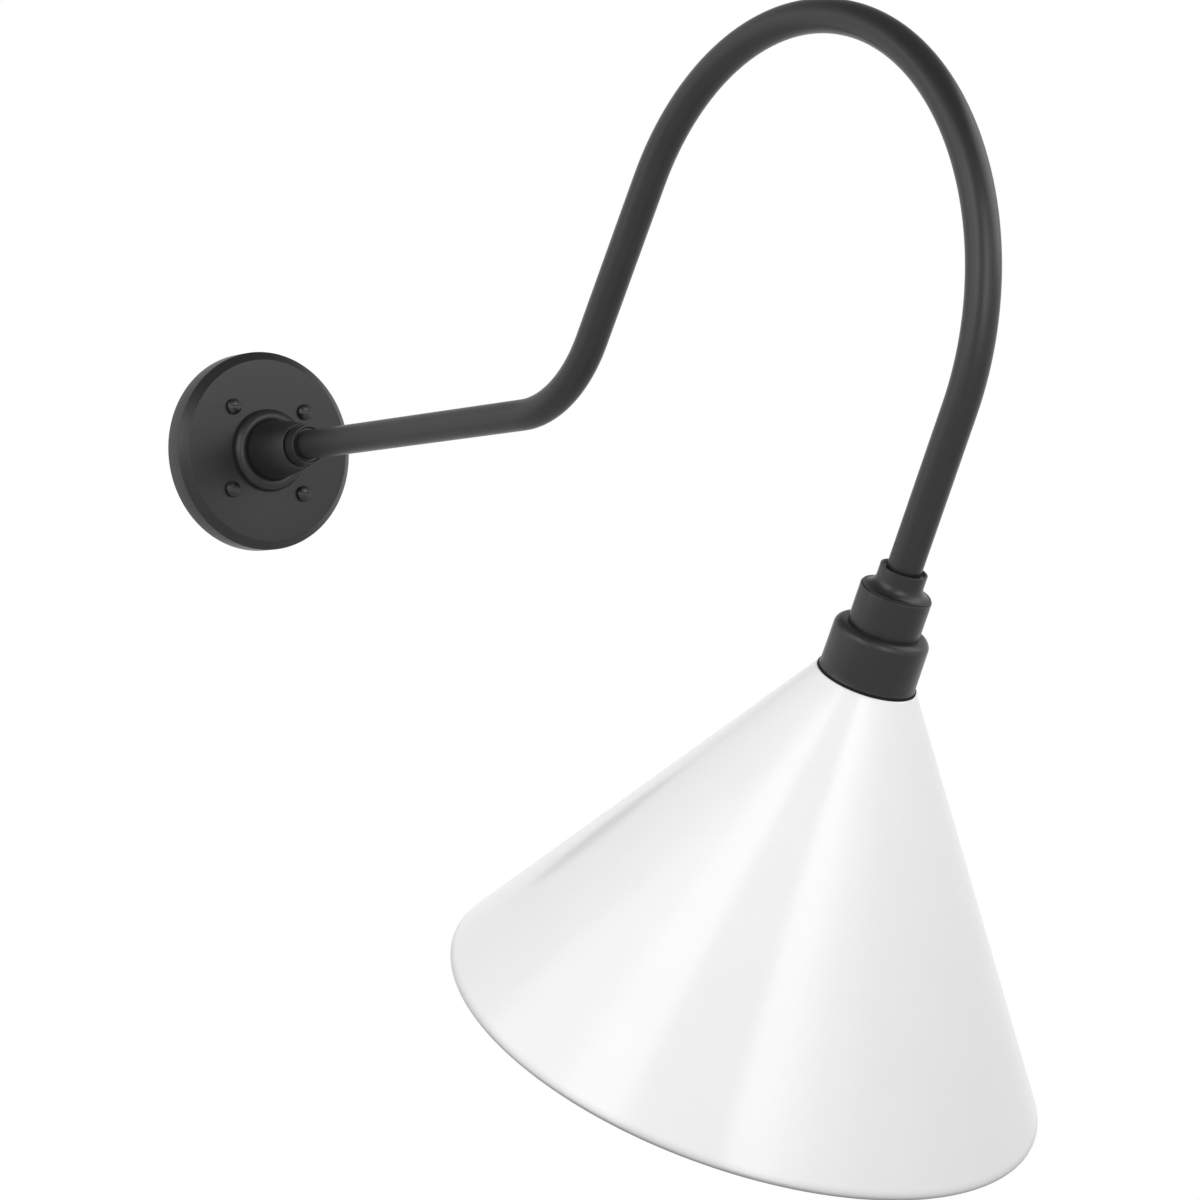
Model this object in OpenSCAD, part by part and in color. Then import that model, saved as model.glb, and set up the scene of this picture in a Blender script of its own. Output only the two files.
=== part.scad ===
// Gooseneck barn light for a wall, in millimetres.
// The wall is the plane Y = 0, the light reaches out towards -Y, and Z is up.
// The origin is the centre of the screw circle, on the wall.

/* [Wall plate] */
// Diameter of the round wall plate
plate_d = 150; // [136:1:190]
// Height of the plate's straight side, measured from the wall
plate_side = 17; // [15:0.5:26]
// Depth of the bevel between the side and the face
plate_bevel_h = 5; // [1:0.5:6]
// Width of the bevel, seen from the front
plate_bevel_w = 6.2; // [3:0.1:12]
// Thickness of the plate's casting
plate_wall = 4.5; // [3:0.1:5.5]
// Thickness of the gasket between plate and wall
wall_gasket_t = 1.5; // [1:0.1:3]
// Diameter of the wire opening in the wall gasket
wall_gasket_bore = 66; // [56:1:68]
// Thickness of the ribs on the plate's back
rib_t = 3; // [2:0.5:5]
// Height of the ribs on the plate's back
rib_h = 7; // [4:0.5:10]

/* [Plate screws] */
// Number of screws that hold the plate
screw_count = 4; // [3:1:6]
// Diameter of the circle that the screws stand on
screw_pcd = 88; // [84:1:96]
// Diameter of a screw's shank
screw_d = 5.5; // [4:0.1:6]
// Diameter of a screw's round head
screw_head_d = 11.8; // [9:0.1:13]
// Height of a screw's round head
screw_head_h = 4.4; // [3:0.1:6]
// Height of the head's straight side, under its dome
screw_head_side = 1.6; // [0:0.1:2.5]
// Width of the slot in a screw's head
screw_slot_w = 1.5; // [1:0.1:2]
// Length of a screw behind the wall's surface
screw_grip = 22; // [10:1:60]
// Thickness of the wall around a screw in its boss
boss_wall = 4.6; // [3:0.1:6]

/* [Hub] */
// Diameter of the hub's foot
hub_foot_d = 62; // [58:0.5:70]
// Diameter of the round bead on the foot
hub_bead_d = 11.6; // [8:0.1:13.5]
// Angle around the bead, from its outer side, at which the body leaves it
hub_bead_angle = 120; // [100:1:150]
// Height of the foot's side under its bead
hub_foot_h = 1.6; // [1:0.1:4]
// Length of the hub, from the plate's face to its nose
hub_len = 47; // [42:0.5:70]
// Radius of the long curve from the foot to the nose
hub_curve_r = 280; // [120:5:600]
// Width of the flat land on the nose
hub_land = 0.4; // [0.2:0.1:2]
// Radius of the nose's outer edge
hub_nose_r = 0.8; // [0.4:0.1:2]
// Depth of the recess in the nose
hub_recess = 3; // [1:0.5:6]
// Diameter of the spigot that goes through the plate
spigot_d = 30; // [27:0.5:34]
// Width of the locknut across its flats
locknut_af = 40; // [38:1:44]
// Thickness of the locknut
locknut_t = 5; // [3:0.5:6]

/* [Arm] */
// Outer diameter of the pipe with its coat
tube_d = 21.5; // [19:0.1:23]
// Wall thickness of the pipe
tube_wall = 2.1; // [1.2:0.1:3]
// Level run, from the wall to the first bend
level_run = 355; // [200:1:500]
// Centreline radius of the first bend
rise_bend_r = 92; // [60:1:140]
// Angle of the rising leg above the level
rise_angle = 57.7; // [30:0.1:80]
// Length of the straight rising leg
rise_run = 117.5; // [60:0.5:250]
// Centreline radius of the crown bend
crown_r = 173.5; // [120:0.5:240]
// Angle between the shade's axis and the vertical
shade_lean = 28; // [0:0.5:45]
// Straight drop, from the crown bend to the cup's lower edge
drop_run = 174.2; // [120:0.1:300]
// How far the pipe goes into the neck
tube_insert = 20; // [14:0.5:22]

/* [Collars] */
// Thickness of both collars around the pipe
collar_wall = 3.8; // [3:0.1:6]
// Length of the hub's collar outside the nose
collar_len = 11.5; // [6:0.5:20]
// Gap between the hub's collar and the recess in the nose
collar_gap = 1.1; // [0.5:0.1:2]
// Width of the thin lip around the pipe
lip_w = 1.5; // [0.8:0.1:2]
// Depth of the dish inside the lip
lip_h = 1.4; // [0.5:0.1:3]

/* [Socket housing] */
// Outer diameter of the housing
housing_d = 44.3; // [43.5:0.1:50]
// Thickness of the housing's wall
housing_wall = 1.6; // [1.2:0.1:2]
// Height of the housing above the cup's shoulder
housing_h = 23.9; // [20:0.1:40]
// Width of the ledge that carries the neck's spigot
housing_ledge = 1.4; // [1:0.1:1.6]
// Length of the neck's collar above the housing's rim
neck_len = 14.9; // [10:0.1:30]
// Height of the neck's flange above the housing's rim
neck_flange_h = 1.8; // [1.2:0.1:3]
// Length of the neck's flange and spigot together
neck_flange_t = 10.3; // [9.6:0.1:14]
// Radius of the flange's round edge
neck_edge_r = 1.2; // [0.4:0.1:1.4]
// Radius of the cove between the neck's collar and its flange
neck_cove_r = 6; // [2:0.1:7]

/* [Shade cup] */
// Outer diameter of the cup at its shoulder
cup_d = 59.2; // [57:0.1:62]
// Height of the cup
cup_h = 32.3; // [28:0.1:50]
// Draft: growth of the cup's radius from shoulder to lip
cup_draft = 0.2; // [0:0.1:1]
// Radius of the cup's rounded shoulder
cup_shoulder_r = 5.5; // [2:0.1:6]
// Thickness of the cup's wall
cup_wall = 2.8; // [2:0.1:3]
// Thickness of the web at the top of the cup
cup_web = 5; // [4:0.1:8]
// Height of the lip around the cup's lower edge
cup_lip_h = 2.2; // [1:0.1:4]
// Width of the lip beyond the cup's side
cup_lip_w = 0.7; // [0.2:0.1:1.5]
// Thickness of the gasket between cup and shade
shade_gasket_t = 1.2; // [0.8:0.1:3]

/* [Shade] */
// Diameter of the shade at its rim
shade_d = 380; // [250:1:500]
// Height of the shade, from its neck to its rim
shade_h = 245; // [150:1:350]
// Diameter of the shade at its neck
shade_neck_d = 65; // [64.5:0.1:72]
// Thickness of the spun sheet
shade_t = 1.5; // [1:0.1:2]
// Outer radius of the corner at the neck
shade_corner_r = 2.4; // [2:0.1:4]
// Diameter of the turned bead at the rim
rim_bead_d = 4.2; // [3:0.1:8]
// Height of the ring's spigot inside the cup
ring_spigot_h = 8; // [5:0.5:12]
// Thickness of the ring's flange under the shade
ring_flange_t = 2.5; // [2:0.1:4]
// Thickness of the ring's spigot
ring_wall = 2.4; // [1.5:0.1:3]

/* [Lampholder] */
// Diameter of the porcelain below its shoulder
holder_d = 35.6; // [35:0.1:37]
// Thickness of the porcelain's shoulder
holder_shoulder_t = 6; // [4:0.5:8]
// How far the porcelain stands out below the cup
holder_drop = 14; // [8:0.5:20]
// Height of the porcelain above its shoulder
holder_crown_h = 13.7; // [10:0.1:15]
// Depth of the hollow for the lamp's cap
holder_depth = 28; // [27:0.5:30]
// Diameter of the two screws that hold the porcelain
holder_screw_d = 3.8; // [3:0.1:4.2]
// Thickness of the brass screw shell
shell_t = 0.8; // [0.5:0.1:1]
// Length of the brass screw shell
shell_len = 24; // [20:0.5:25]
// Thickness of the brass contact strip
strip_t = 0.6; // [0.4:0.1:1]
// Width of the brass contact strip
strip_w = 5; // [3:0.5:7]

/* [Lamp] */
// Diameter of the lamp's screw cap
cap_d = 26.1; // [25.5:0.1:26.6]
// Length of the lamp's screw cap
cap_len = 24; // [20:0.5:25]
// Thickness of the cap's sheet
cap_t = 0.45; // [0.3:0.05:0.8]
// Diameter of the lamp's globe
globe_d = 60; // [45:1:80]
// Length of the lamp's glass below its cap
glass_len = 80; // [70:1:110]
// Thickness of the glass
glass_t = 0.8; // [0.5:0.1:1.5]

/* [Wiring] */
// Diameter of an insulated lead
lead_d = 2.6; // [2:0.1:2.8]
// Distance from one lead to the next
lead_pitch = 5.4; // [5.2:0.1:5.6]
// Radius of the leads' bend behind the hub
lead_bend_r = 6; // [5:0.5:8]
// Diameter of a lead's copper core
core_d = 1.6; // [1:0.1:2]
// Length of the bare core at the wall end of a lead
core_len = 10; // [6:1:16]
// Length of a lead that hangs behind the hub
lead_tail = 26; // [18:1:36]

/* [Hidden] */
$fn = 64;

// Clearance of pieces that are assembled by hand
fit_gap = 0.1;
// Clearance between the lamp and what it turns in
turn_gap = 0.35;
// Overshoot of cuts
cut = 1;
// A bend's section is larger by this, and a straight reaches this far into its wall
bend_swell = 0.05;
bend_lap = 0.4;

// Plate
plate_r = plate_d / 2;
face_u = plate_side + plate_bevel_h;
hollow_u = face_u - plate_wall;
screw_r = screw_d / 2;
screw_neck_r = screw_r + fit_gap;
screw_hole_r = screw_r + 3 * fit_gap;
boss_r = screw_hole_r + boss_wall;
pad_t = 1.5;
pad_u = hollow_u - pad_t;
first_screw_angle = 180 / screw_count;

// Arm and collars
tube_r = tube_d / 2;
bore_r = tube_r + fit_gap;
wire_r = tube_r - tube_wall;
collar_r = bore_r + collar_wall;
spigot_r = spigot_d / 2;
spigot_hole_r = spigot_r + fit_gap;
spigot_end_u = pad_u - locknut_t - 1.5;
tube_start_u = face_u + 6;
nose_u = face_u + hub_len;
recess_r = collar_r + collar_gap;
nose_r = recess_r + hub_land + hub_nose_r;
recess_u = nose_u - hub_recess;
collar_end_u = nose_u + collar_len;

// The arm's path in its own plane: X is the reach from the wall, Y is the height
function along(heading) = [cos(heading), sin(heading)];
function turn_end(p, heading, bend_r, angle) =
    let (side = angle > 0 ? 1 : -1)
    p + bend_r * side * ([-sin(heading), cos(heading)] - [-sin(heading + angle), cos(heading + angle)]);
crown_angle = rise_angle + 90 + shade_lean;
drop_heading = rise_angle - crown_angle;
bend_start = [level_run, 0];
rise_start = turn_end(bend_start, 0, rise_bend_r, rise_angle);
crown_start = rise_start + rise_run * along(rise_angle);
crown_end = turn_end(crown_start, rise_angle, crown_r, -crown_angle);
seat = crown_end + drop_run * along(drop_heading);

// Fitter: heights above the cup's lower edge
cup_r = cup_d / 2;
cup_bottom_r = cup_r + cup_draft;
cup_bore_r = cup_r - cup_wall;
web_z = cup_h - cup_web;
housing_r = housing_d / 2;
housing_bore_r = housing_r - housing_wall;
housing_ledge_r = housing_bore_r - housing_ledge;
housing_spigot_r = housing_bore_r;
housing_top_z = cup_h + housing_h;
flange_bottom_z = housing_top_z + 3 * fit_gap;
flange_top_z = housing_top_z + neck_flange_h;
flange_edge_r = housing_r - 2 * fit_gap;
flange_z = flange_top_z - neck_flange_t;
flange_r = housing_bore_r - fit_gap;
cove_r = min(neck_cove_r, flange_edge_r - neck_edge_r - collar_r);
neck_top_z = housing_top_z + neck_len;
tube_end_z = neck_top_z - tube_insert;
tube_end_run = drop_run - tube_end_z;
neck_bore_r = wire_r;

// Lampholder
holder_r = holder_d / 2;
shoulder_r = cup_bore_r - 5 * fit_gap;
shoulder_z = web_z - holder_shoulder_t;
crown_r_holder = housing_ledge_r - 3 * fit_gap;
holder_top_z = web_z + holder_crown_h;
hollow_top_z = holder_depth - holder_drop;
shell_bore_r = cap_d / 2 + turn_gap;
shell_r = shell_bore_r + shell_t;
holder_hollow_r = shell_r + fit_gap;
shell_bottom_z = 2 - holder_drop;
shell_top_z = shell_bottom_z + shell_len;
holder_screw_r = holder_screw_d / 2;
holder_head_r = holder_screw_r + 1.3;
holder_head_h = 2.6;
holder_screw_x = cup_bore_r - holder_head_r - 3 * fit_gap;
holder_screw_in = cup_web - 1.2;

// Shade
neck_outer_r = shade_neck_d / 2;
neck_z = -shade_gasket_t;
shade_hole_r = cup_bore_r + 2 * fit_gap;
rim_z = neck_z - shade_h;
rim_bead_r = rim_bead_d / 2;
ring_r = cup_bore_r - fit_gap;
ring_top_z = ring_spigot_h;
ring_seat_z = neck_z - shade_t;
ring_flange_r = neck_outer_r - shade_corner_r - fit_gap;
ring_eye_r = holder_r + 5 * fit_gap;

// Lamp: heights in the fitter's frame
strip_drop = 2;
strip_pad_z = hollow_top_z - strip_drop - strip_t;
tip_z = strip_pad_z - turn_gap;
tip_h = 1.2;
insulator_h = 2.5;
cap_top_z = tip_z - tip_h - insulator_h;
cap_bottom_z = cap_top_z - cap_len;
cap_r = cap_d / 2;
cap_bore_r = cap_r - cap_t;
globe_r = globe_d / 2;
globe_z = cap_bottom_z - glass_len + globe_r;
glass_neck_r = cap_bore_r - fit_gap;
eye_r = 5.5;
lamp_tip_r = 4.6;

// Wiring
lead_r = lead_d / 2;
core_r = core_d / 2;
lead_u = spigot_end_u - lead_r - 3 * fit_gap;
lead_seat_z = holder_top_z - 7.5;
ground_lead_z = flange_z - lead_r - 2 * fit_gap;
ground_bend_r = 4.5;
ground_screw_y = 14;
ground_screw_r = 1.9;
ground_ring_t = 0.8;
ground_ring_r = 3.5;
ground_barrel_y = 8.5;

// Small set screws
grub_r = 2;
grub_side_angle = 35;
grub_u = recess_u - 6;
neck_grub_z = flange_top_z + cove_r + grub_r + 6 * fit_gap;
housing_grub_z = (flange_z + housing_top_z) / 2;

black_coat = "#3a3b3c";
white_enamel = "#f4f4f2";
soft_black = "#1c1c1c";
brass = "#c9a24a";
steel = "#9a9da0";
porcelain = "#efece4";

// Points on an arc of radius r about c
function arc(c, r, from, to, steps) =
    [for (i = [0:steps]) c + r * along(from + (to - from) * i / steps)];

// Points from p to q on a shallow arc of radius r that bulges to the right of the way from p to q
function bow(p, q, r, steps) =
    let (
        way = q - p,
        half = norm(way) / 2,
        side = [-way.y, way.x] / norm(way),
        c = (p + q) / 2 + side * sqrt(r * r - half * half),
        a = atan2(p.y - c.y, p.x - c.x),
        b = atan2(q.y - c.y, q.x - c.x),
        turn = b - a > 180 ? b - a - 360 : b - a < -180 ? b - a + 360 : b - a
    )
    arc(c, r, a, a + turn, steps);

function backwards(points) = [for (i = [len(points) - 1:-1:0]) points[i]];

module revolve(points) rotate_extrude() polygon(points);

// Local Z is the distance from the wall, local Y is up
module from_wall() rotate([90, 0, 0]) children();

// Local Z runs up the drop, from the cup's lower edge; local Y points to the wall
module at_seat() translate([0, -seat.x, seat.y]) rotate([shade_lean, 0, 0]) children();

module at_screws() for (i = [0:screw_count - 1])
    rotate([0, 0, first_screw_angle + i * 360 / screw_count]) translate([screw_pcd / 2, 0, 0]) children();

module ring(r, hole) difference() {
    circle(r = r);
    if (hole > 0) circle(r = hole);
}

// A straight stretch of bar or pipe: the way forward is local Z, and it laps into the bends beside it
module run(length, r, hole = 0, before = bend_lap, after = bend_lap)
    translate([0, 0, -before]) linear_extrude(before + length + after) ring(r, hole);

// A bend from the origin: a positive angle turns the way forward from local Z towards local X
module bend(bend_r, angle, r, hole = 0) {
    side = angle > 0 ? 1 : -1;
    flip = angle > 0 ? 180 : 0;
    translate([side * bend_r, 0, 0]) rotate([90, 0, flip]) rotate_extrude(angle = abs(angle))
        translate([bend_r, 0]) rotate(flip) ring(r + bend_swell, hole > 0 ? hole - bend_swell : 0);
}

// The end of that bend
module past_bend(bend_r, angle) {
    side = angle > 0 ? 1 : -1;
    translate([side * bend_r, 0, 0]) rotate([0, angle, 0]) translate([-side * bend_r, 0, 0]) children();
}

// A bar or pipe that follows the arm: it starts level, with local X up, and children() ride on its end
module arm_bar(r, hole, level, end_run, before = 0) {
    run(level, r, hole, before);
    translate([0, 0, level]) bend(rise_bend_r, rise_angle, r, hole);
    translate([0, 0, level]) past_bend(rise_bend_r, rise_angle) {
        run(rise_run, r, hole);
        translate([0, 0, rise_run]) bend(crown_r, -crown_angle, r, hole);
        translate([0, 0, rise_run]) past_bend(crown_r, -crown_angle) {
            run(end_run, r, hole, after = $children > 0 ? bend_lap : 0);
            translate([0, 0, end_run]) children();
        }
    }
}

// Round screw head with a straight side and a slot, standing on Z = 0
module slotted_head(r, h, slot_w, side = 0) {
    steps = 7;
    dome = [for (i = [0:steps]) let (turn = 90 * i / steps) [r * cos(turn), side + (h - side) * sin(turn)]];
    difference() {
        revolve(concat(side > 0 ? [[0, 0], [r, 0]] : [[0, 0]], dome));
        translate([-r, -slot_w / 2, h / 2]) cube([2 * r, slot_w, h]);
    }
}

// Grub screw with a hexagon socket, its outer end on Z = 0 and its point below
module grub(length) {
    socket_r = grub_r * 0.6;
    difference() {
        translate([0, 0, -length]) cylinder(r = grub_r, h = length);
        translate([0, 0, -grub_r]) cylinder(r = socket_r, h = grub_r + cut, $fn = 6);
    }
}

// The place of the hub's grub screw: Z points out of the hub, on its lower far side
module at_hub_grub() from_wall() translate([0, 0, grub_u]) rotate([0, 0, grub_side_angle - 90])
    rotate([0, 90, 0]) children();

module wall_gasket() color(soft_black) from_wall() difference() {
    cylinder(r = plate_r - 1, h = wall_gasket_t);
    translate([0, 0, -cut]) cylinder(d = wall_gasket_bore, h = wall_gasket_t + 2 * cut);
    at_screws() translate([0, 0, -cut]) cylinder(r = screw_hole_r, h = wall_gasket_t + 2 * cut);
}

module wall_plate() color(black_coat) from_wall() difference() {
    union() {
        revolve([
            [spigot_hole_r, face_u],
            [plate_r - plate_bevel_w, face_u],
            [plate_r, plate_side],
            [plate_r, wall_gasket_t],
            [plate_r - plate_wall, wall_gasket_t],
            [plate_r - plate_wall, hollow_u - plate_bevel_h],
            [plate_r - plate_wall - plate_bevel_h, hollow_u],
            [locknut_af * 0.6, hollow_u],
            [locknut_af * 0.6, pad_u],
            [spigot_hole_r, pad_u]
        ]);
        at_screws() {
            translate([0, 0, wall_gasket_t]) cylinder(r = boss_r, h = face_u - wall_gasket_t - 1);
            rib_len = plate_r - plate_wall / 2 - screw_pcd / 2;
            translate([0, -rib_t / 2, hollow_u - rib_h]) cube([rib_len, rib_t, rib_h + plate_wall / 2]);
        }
    }
    at_screws() translate([0, 0, -cut]) cylinder(r = screw_hole_r, h = face_u + 2 * cut);
}

module plate_screws() color(black_coat) from_wall() at_screws() {
    translate([0, 0, -screw_grip]) cylinder(r = screw_r, h = screw_grip + cut);
    cylinder(r = screw_neck_r, h = face_u);
    translate([0, 0, face_u]) rotate([0, 0, -first_screw_angle])
        slotted_head(screw_head_d / 2, screw_head_h, screw_slot_w, screw_head_side);
}

module arm_hub() {
    bead_r = hub_bead_d / 2;
    foot_r = hub_foot_d / 2;
    bead_c = [foot_r - bead_r, face_u + hub_foot_h];
    body_foot = bead_c + bead_r * along(hub_bead_angle);
    body_nose = [nose_r, nose_u - hub_nose_r];
    color(black_coat) difference() {
        from_wall() revolve(concat(
            [[wire_r, spigot_end_u], [spigot_r, spigot_end_u], [spigot_r, face_u], [foot_r, face_u]],
            arc(bead_c, bead_r, 0, hub_bead_angle - 12, 9),
            bow(body_foot, body_nose, hub_curve_r, 6),
            arc([nose_r - hub_nose_r, nose_u - hub_nose_r], hub_nose_r, 15, 90, 4),
            [[recess_r, nose_u], [recess_r, recess_u], [bore_r, recess_u]],
            [[bore_r, tube_start_u], [wire_r, tube_start_u]]
        ));
        at_hub_grub() translate([0, 0, bore_r - cut]) cylinder(r = grub_r + fit_gap, h = foot_r);
    }
}

module hub_locknut() color(steel) from_wall() translate([0, 0, pad_u - locknut_t]) difference() {
    cylinder(d = locknut_af / cos(30), h = locknut_t, $fn = 6);
    translate([0, 0, -cut]) cylinder(r = spigot_hole_r, h = locknut_t + 2 * cut);
}

module hub_set_screw() color(soft_black) at_hub_grub() translate([0, 0, bore_r + 6]) grub(6);

module arm_collar() color(black_coat) from_wall() revolve([
    [bore_r, recess_u],
    [collar_r, recess_u],
    [collar_r, collar_end_u - 0.5],
    [collar_r - 0.5, collar_end_u],
    [collar_r - lip_w, collar_end_u],
    [collar_r - lip_w - 0.5, collar_end_u - lip_h],
    [bore_r, collar_end_u - lip_h]
]);

module arm_tube() color(black_coat) from_wall() translate([0, 0, tube_start_u]) rotate([0, 0, 90])
    arm_bar(tube_r, wire_r, level_run - tube_start_u, tube_end_run);

module arm_neck() color(black_coat) at_seat() difference() {
    revolve(concat(
        [[neck_bore_r, flange_z], [flange_r, flange_z]],
        [[flange_r, flange_bottom_z], [flange_edge_r, flange_bottom_z]],
        arc([flange_edge_r - neck_edge_r, flange_top_z - neck_edge_r], neck_edge_r, 0, 84, 5),
        backwards(arc([collar_r + cove_r, flange_top_z + cove_r], cove_r, 180, 270, 8)),
        [
            [collar_r, neck_top_z - 0.5],
            [collar_r - 0.5, neck_top_z],
            [collar_r - lip_w, neck_top_z],
            [collar_r - lip_w - 0.5, neck_top_z - lip_h],
            [bore_r, neck_top_z - lip_h],
            [bore_r, tube_end_z],
            [neck_bore_r, tube_end_z]
        ]
    ));
    translate([0, bore_r - cut, neck_grub_z]) rotate([-90, 0, 0]) cylinder(r = grub_r + fit_gap, h = collar_r);
    translate([0, flange_r - 3, housing_grub_z]) rotate([-90, 0, 0]) cylinder(r = grub_r + fit_gap, h = collar_r);
    translate([0, ground_screw_y, flange_z - cut]) cylinder(r = ground_screw_r + fit_gap, h = cut + 5);
}

module neck_set_screw() color(soft_black) at_seat() translate([0, collar_r - 0.3, neck_grub_z])
    rotate([-90, 0, 0]) grub(collar_r - 0.3 - bore_r);

module socket_housing() color(black_coat) at_seat() difference() {
    revolve([
        [housing_ledge_r, web_z],
        [housing_spigot_r, web_z],
        [housing_spigot_r, cup_h],
        [housing_r, cup_h],
        [housing_r, housing_top_z - 0.4],
        [housing_r - 0.4, housing_top_z],
        [housing_bore_r + 0.2, housing_top_z],
        [housing_bore_r, housing_top_z - 0.2],
        [housing_bore_r, flange_z],
        [housing_ledge_r, flange_z]
    ]);
    translate([0, housing_bore_r - cut, housing_grub_z]) rotate([-90, 0, 0])
        cylinder(r = grub_r + fit_gap, h = housing_wall + 2 * cut);
}

module housing_set_screw() color(soft_black) at_seat() translate([0, housing_r - 0.3, housing_grub_z])
    rotate([-90, 0, 0]) grub(housing_r - 0.3 - flange_r + 2.5);

module shade_cup() color(black_coat) at_seat() difference() {
    revolve(concat(
        [
            [housing_spigot_r + fit_gap, cup_h],
            [housing_spigot_r + fit_gap, web_z],
            [cup_bore_r, web_z],
            [cup_bore_r, 0],
            [cup_bottom_r + cup_lip_w, 0],
            [cup_bottom_r + cup_lip_w, cup_lip_h * 0.5],
            [cup_bottom_r, cup_lip_h]
        ],
        arc([cup_r - cup_shoulder_r, cup_h - cup_shoulder_r], cup_shoulder_r, 0, 90, 8)
    ));
    for (side = [-1, 1]) translate([side * holder_screw_x, 0, web_z - cut])
        cylinder(r = holder_screw_r + fit_gap, h = cut + holder_screw_in + fit_gap);
}

module shade_gasket() color(soft_black) at_seat() revolve([
    [cup_bore_r, 0],
    [cup_bottom_r + cup_lip_w * 0.5, 0],
    [cup_bottom_r + cup_lip_w * 0.5, neck_z],
    [cup_bore_r, neck_z]
]);

// The sheet runs from the neck's corner to the bead on a line that touches both
module shade() {
    corner_c = [neck_outer_r - shade_corner_r, neck_z - shade_corner_r];
    bead_c = [shade_d / 2 - rim_bead_r, rim_z + rim_bead_r];
    way = bead_c - corner_c;
    face = atan2(way.y, way.x) + acos((shade_corner_r - rim_bead_r) / norm(way));
    curl = acos((rim_bead_r - shade_t) / rim_bead_r);
    color(white_enamel) at_seat() revolve(concat(
        [[shade_hole_r, neck_z - shade_t], [shade_hole_r, neck_z]],
        arc(corner_c, shade_corner_r, 90, face, 6),
        arc(bead_c, rim_bead_r, face, face + curl - 360, 20),
        arc(corner_c, shade_corner_r - shade_t, face, 90, 6)
    ));
}

module shade_ring() color(steel) at_seat() revolve([
    [ring_eye_r, ring_seat_z - ring_flange_t],
    [ring_flange_r, ring_seat_z - ring_flange_t],
    [ring_flange_r, ring_seat_z],
    [ring_r, ring_seat_z],
    [ring_r, ring_top_z],
    [ring_r - ring_wall, ring_top_z],
    [ring_r - ring_wall, ring_seat_z],
    [ring_eye_r, ring_seat_z]
]);

module lampholder() color(porcelain) at_seat() difference() {
    revolve([
        [0, hollow_top_z],
        [holder_hollow_r, hollow_top_z],
        [holder_hollow_r, -holder_drop],
        [holder_r - 1, -holder_drop],
        [holder_r, 1 - holder_drop],
        [holder_r, shoulder_z],
        [shoulder_r, shoulder_z],
        [shoulder_r, web_z],
        [crown_r_holder, web_z],
        [crown_r_holder, holder_top_z - 1.5],
        [crown_r_holder - 1.5, holder_top_z],
        [0, holder_top_z]
    ]);
    for (side = [-1, 1]) {
        translate([side * lead_pitch, 0, holder_top_z - 8]) cylinder(r = lead_r + fit_gap, h = 8 + cut);
        translate([side * holder_screw_x, 0, shoulder_z - cut])
            cylinder(r = holder_screw_r + fit_gap, h = holder_shoulder_t + 2 * cut);
    }
}

module screw_shell() color(brass) at_seat() revolve([
    [shell_r, shell_bottom_z],
    [shell_r, shell_top_z + shell_t],
    [shell_r - 4, shell_top_z + shell_t],
    [shell_r - 4, shell_top_z],
    [shell_bore_r, shell_top_z],
    [shell_bore_r, shell_bottom_z]
]);

module centre_contact() {
    heel = 9;
    knee = 5;
    toe = 3;
    color(brass) at_seat() rotate([90, 0, 90]) linear_extrude(strip_w, center = true) polygon([
        [-heel, hollow_top_z],
        [-knee, hollow_top_z],
        [-toe, strip_pad_z + strip_t],
        [toe, strip_pad_z + strip_t],
        [toe, strip_pad_z],
        [-toe - strip_t / 2, strip_pad_z],
        [-knee - strip_t / 2, hollow_top_z - strip_t],
        [-heel, hollow_top_z - strip_t]
    ]);
}

module holder_screws() color(steel) at_seat() for (side = [-1, 1])
    translate([side * holder_screw_x, 0, shoulder_z]) {
        cylinder(r = holder_screw_r, h = holder_shoulder_t + holder_screw_in);
        mirror([0, 0, 1]) slotted_head(holder_head_r, holder_head_h, 1);
    }

// A lead hangs behind the hub, turns into it, and follows the arm
module lead(x, end_run) translate([x, -lead_u, -lead_tail]) rotate([0, 0, 90]) {
    rise = lead_tail - lead_bend_r;
    run(rise, lead_r, before = 0);
    translate([0, 0, rise]) bend(lead_bend_r, -90, lead_r);
    translate([0, 0, rise]) past_bend(lead_bend_r, -90)
        arm_bar(lead_r, 0, level_run - lead_u - lead_bend_r, end_run, bend_lap) children();
}

module live_lead() color("#202020") lead(-lead_pitch, drop_run - lead_seat_z);

module neutral_lead() color("#e8e8e8") lead(lead_pitch, drop_run - lead_seat_z);

module ground_lead() color("#2e7d3c") lead(0, drop_run - ground_lead_z - ground_bend_r) {
    bend(ground_bend_r, -90, lead_r);
    past_bend(ground_bend_r, -90) run(ground_barrel_y - ground_bend_r, lead_r, after = 0);
}

module ground_terminal() color(brass) at_seat() difference() {
    union() {
        translate([0, ground_barrel_y, ground_lead_z]) rotate([-90, 0, 0])
            cylinder(r = lead_r + fit_gap, h = ground_screw_y - ground_ring_r - ground_barrel_y + 1);
        translate([0, ground_screw_y, flange_z - ground_ring_t]) cylinder(r = ground_ring_r, h = ground_ring_t);
    }
    translate([0, ground_screw_y, flange_z - ground_ring_t - cut])
        cylinder(r = ground_screw_r + fit_gap, h = ground_ring_t + 2 * cut);
}

module ground_screw() color("#3f8f4a") at_seat() translate([0, ground_screw_y, flange_z - ground_ring_t]) {
    cylinder(r = ground_screw_r, h = ground_ring_t + 4.5);
    mirror([0, 0, 1]) slotted_head(ground_ring_r - 1, 2, 0.8);
}

module lead_ends() color("#c07a4a") for (x = [-lead_pitch, 0, lead_pitch])
    translate([x, -lead_u, -lead_tail - core_len]) cylinder(r = core_r, h = core_len);

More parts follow.
